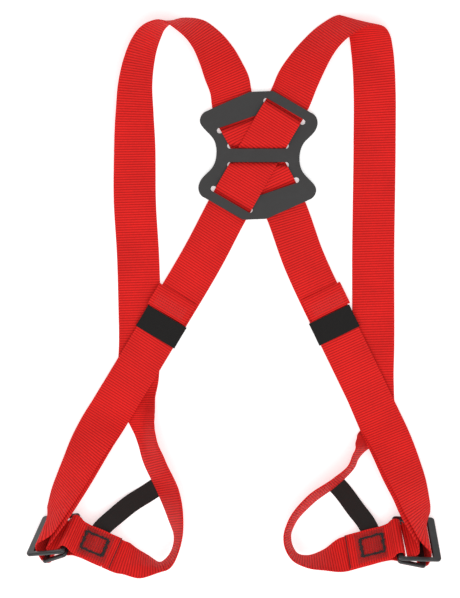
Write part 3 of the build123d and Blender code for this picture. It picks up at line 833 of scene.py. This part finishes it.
def sewn(side):
    """The loop's end doubled round both near bars and stitched to itself."""
    b = BUCKLES[side]
    low = b.n * -BAR_STACK
    low_s, low_m = low @ b.s, low @ b.m
    leave = 180 + math.degrees(math.atan2(low_s, -low_m))
    half_m = low_m / 2
    cut = CUT_END[side]
    above, below = half_m + SEWN_LAYER, half_m - SEWN_LAYER
    path = [(cut, above), (30, above), (13, above), (7.5, half_m + 2.5)]
    path += arc(0, 0, WRAP_R, 62, leave, 6) + arc(low_s, low_m, WRAP_R, leave, 292, 4)[1:]
    path += [(low_s + 8, half_m - 2.4), (18, below), (34, below), (cut - 9, below)]
    c, s = band_grid(path, b.at, b.s, b.m, b.w)
    end = webbing(f"doubled_end_{side}", c, s, T, BASE, RIBS, RED)
    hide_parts(f"sewn_end_{side}")
    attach(end, "harness")
    face = b.at + b.m * (above + SEWN_SKIN)
    rng = random.Random(SEED + 1)

    def on_face(x, y, up=0.0):
        return face + b.s * x + b.w * y + b.m * up

    x, y = BOX_HALF
    ring = [(BOX_MID - x, -y), (BOX_MID + x, -y), (BOX_MID + x, y), (BOX_MID - x, y)]
    lines = []
    for p, q in zip(ring, ring[1:] + ring[:1]):
        a, z = on_face(*p, 0.5), on_face(*q, 0.5)
        lines.append(zigzag(a, z, unit(np.cross(b.m, z - a)), b.m, 2.6, 0.9, 0.9, rng, sink=0.1))
    box = threads(f"box_seam_{side}", lines, 0.85, BLACK_THREAD)
    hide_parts(f"box_stitch_{side}")
    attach(box, "harness")

    rows = []
    for k in range(14):
        x = 14.5 + 2.35 * k
        rows.append(zigzag(on_face(x, -17.5), on_face(x, 17.5), b.s, b.m, 2.2, 1.1, 0.45, rng, sink=0.1))
    for y in (-18.6, 18.6):
        rows.append(zigzag(on_face(13.5, y), on_face(46.5, y), b.w, b.m, 1.4, 1.2, 0.15, rng, sink=0.3))
    patch = threads(f"red_seam_{side}", rows, 0.32, RED_THREAD)
    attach(patch, "harness")

    edge = on_face(cut - 0.7, -22.0), on_face(cut - 0.7, 22.0)
    line = zigzag(*edge, b.s, b.m, 1.1, 0.8, 0.15, rng, sink=0.5)
    bind = threads(f"cut_edge_seam_{side}", [line], 0.34, BROWN_THREAD)
    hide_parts(f"end_stitch_{side}")
    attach(bind, "harness")


LINK_HALF = 10.0
LINK_T = 1.2
LINK_IN = np.array([0.0, 0.3, 0.9, 1.6])


def link(side):
    """Flat black woven strap between the loop and the sewn end."""
    stations = [(*station(row)[:3], LINK_HALF) for row in LINKS[side]]
    lay = Lay(stations, half=LINK_HALF)
    inner = np.linspace(-LINK_HALF + LINK_IN[-1], LINK_HALF - LINK_IN[-1], 17)[1:-1]
    t = np.concatenate([-LINK_HALF + LINK_IN, inner, (LINK_HALF - LINK_IN)[::-1]])
    base = np.interp(LINK_HALF - np.abs(t), [0, 0.3, 0.9, 1.6, 3], [0.12, 0.4, 0.58, 0.5, 0.54])
    c, s = lay.grid(t, per_rib=3)
    n = normals_of(c)
    tick = 0.06 * np.sin(2 * np.pi * (s[:, None] / 1.8 + t[None, :] / 2.4))
    top = c + n * (base[None, :] + tick)[..., None]
    bottom = c - n * (base[None, :] - tick)[..., None]
    points, faces, uvs = skin(top, bottom, s, t, LINK_T)
    points[:, 2] = np.maximum(points[:, 2], LOWEST_Z)
    strap = mesh_object(f"link_tape_{side}", points, faces, uvs, TAPE)
    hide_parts(f"link_strap_{side}")
    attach(strap, "harness")


for side in SIDES:
    tail(side)
    folded_end(side)
    keeper(side)
    turn(side)
    sewn(side)
    link(side)


# ---- CAD parts that keep their shape ---------------------------------------------------------------
def dress(node, material):
    """Gives a CAD part its finish and soft shading on its rounded edges."""
    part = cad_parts[node]
    if not part.material_slots:
        part.data.materials.append(material)
    for held in part.material_slots:
        held.material = material
    part.data.polygons.foreach_set("use_smooth", [True] * len(part.data.polygons))
    part.data.set_sharp_from_angle(angle=math.radians(32))
    return part


plate = dress("back_plate", PLATE)
rounding = plate.modifiers.new("rounded_edges", "BEVEL")
rounding.width = 0.9 * MM
rounding.segments = 3
rounding.limit_method = "ANGLE"
rounding.angle_limit = math.radians(50)
rounding.harden_normals = True
for side in SIDES:
    dress(f"upper_frame_{side}", METAL)
    dress(f"lower_frame_{side}", METAL)

# ---- floor, light and camera ------------------------------------------------------------------------
FLOOR_HALF = 3.0
FLOOR_LEVEL = -0.0004
floor_mesh = bpy.data.meshes.new("floor")
corners = [(x * FLOOR_HALF, y * FLOOR_HALF, FLOOR_LEVEL) for x, y in ((-1, -1), (1, -1), (1, 1), (-1, 1))]
floor_mesh.from_pydata(corners, [], [(0, 1, 2, 3)])
floor = bpy.data.objects.new("floor", floor_mesh)
bpy.context.scene.collection.objects.link(floor)
paper = Nodes("paper")
floor_mesh.materials.append(paper.finish((0.90, 0.90, 0.90, 1), 0.9, None, Specular_IOR_Level=0.1,
                                         Emission_Color=(1, 1, 1, 1), Emission_Strength=0.42))

world = bpy.data.worlds.new("studio")
bpy.context.scene.world = world
world.use_nodes = True
world.node_tree.nodes["Background"].inputs[0].default_value = (1, 1, 1, 1)
world.node_tree.nodes["Background"].inputs[1].default_value = 0.62


def softbox(name, place, size, watts):
    """A soft rectangular light that faces the object."""
    data = bpy.data.lights.new(name, "AREA")
    data.shape = "RECTANGLE"
    data.size, data.size_y = size
    data.energy = watts
    lamp = bpy.data.objects.new(name, data)
    bpy.context.scene.collection.objects.link(lamp)
    lamp.location = place
    lamp.rotation_euler = Vector(-np.array(place)).to_track_quat("-Z", "Y").to_euler()


softbox("overhead", (0.0, -0.75, 2.3), (2.2, 1.8), 32)

camera_data = bpy.data.cameras.new("camera")
camera = bpy.data.objects.new("camera", camera_data)
bpy.context.scene.collection.objects.link(camera)
bpy.context.scene.camera = camera
DISTANCE = 6.0
FRAME_HEIGHT = 0.640      # height of the picture, on the object
OBJECT_MID = 0.01         # height at which that is measured
FILM = 36.0
camera.location = (-0.0042, -0.0035, DISTANCE)
camera_data.sensor_width = FILM
camera_data.lens = FILM * (DISTANCE - OBJECT_MID) / FRAME_HEIGHT
camera_data.clip_end = 50.0
bpy.context.scene.view_settings.view_transform = "Standard"
